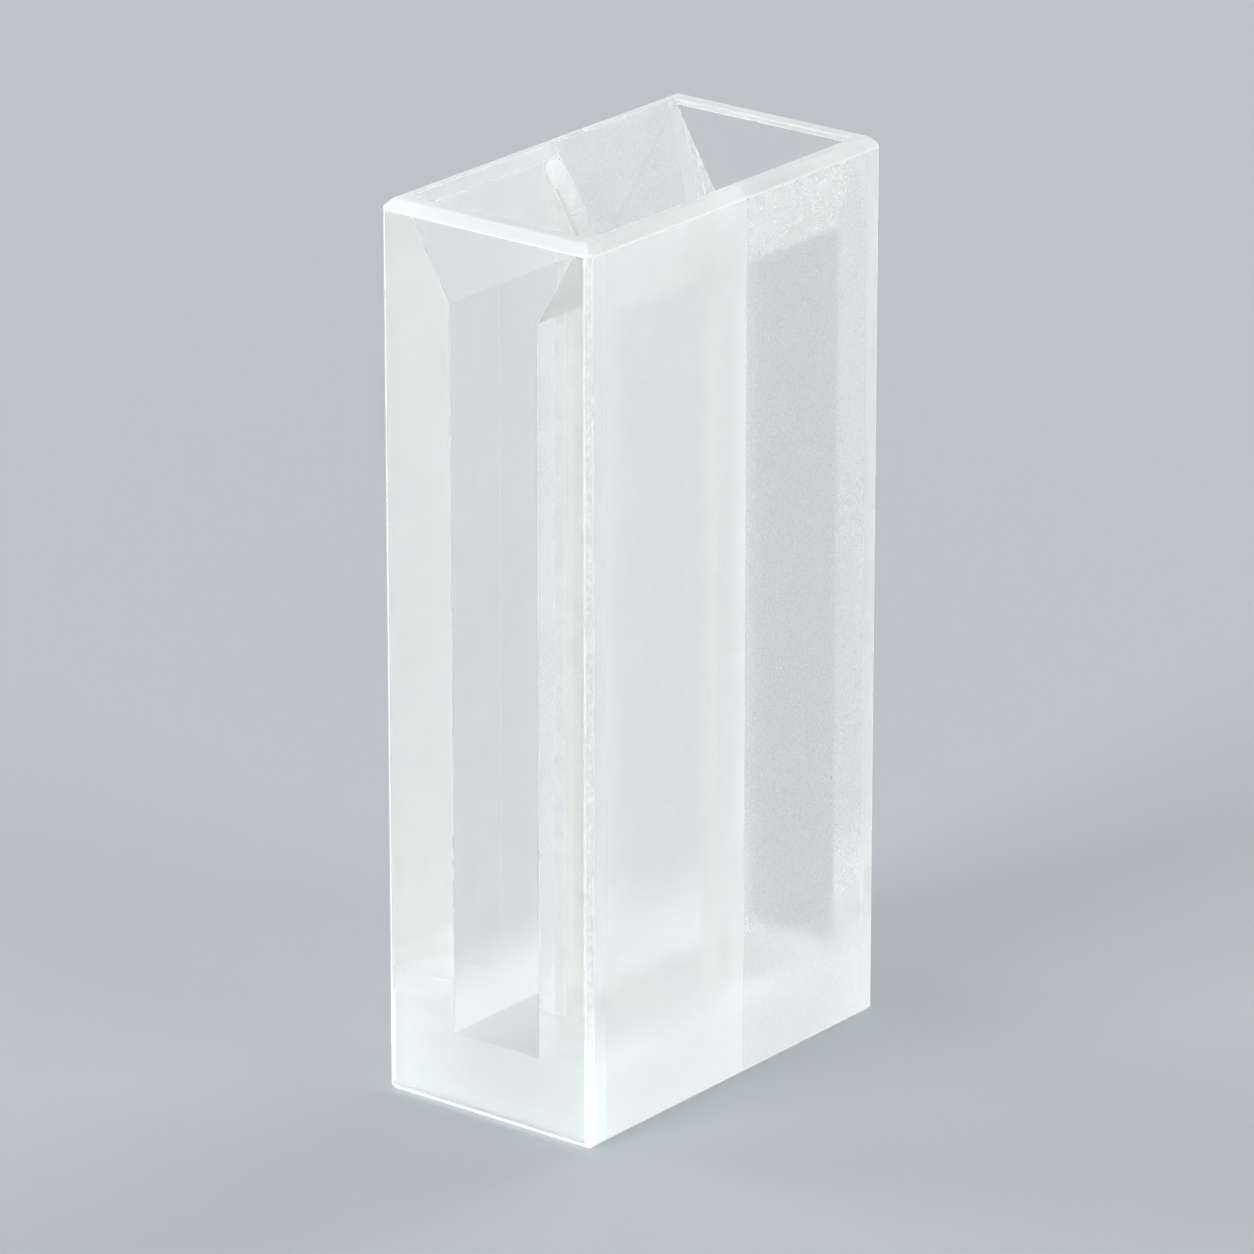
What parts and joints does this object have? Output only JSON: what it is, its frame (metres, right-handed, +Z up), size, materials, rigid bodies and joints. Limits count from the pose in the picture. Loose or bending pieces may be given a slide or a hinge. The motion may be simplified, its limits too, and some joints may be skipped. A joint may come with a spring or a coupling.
{
  "type": "cuvette",
  "caption": "Divided semi-micro glass cuvette: clear end windows, ground sides, two slot chambers in line with a notched partition under one funnel mouth.",
  "frame": {"origin": "middle of the underside, on the surface the cell stands on", "axes": "+Z up along the height; light passes along Y through the clear end windows; the ground sides face +X and -X"},
  "size_m": [0.0126, 0.0226, 0.045],
  "materials": {
    "window_glass": "polished clear",
    "ground_glass": "ground outside, polished inside"
  },
  "bodies": {
    "root": {"front_window": "window_glass", "rear_window": "window_glass", "left_side_plate": "ground_glass", "right_side_plate": "ground_glass", "front_block": "ground_glass", "rear_block": "ground_glass", "partition": "ground_glass"}
  },
  "joints": []
}
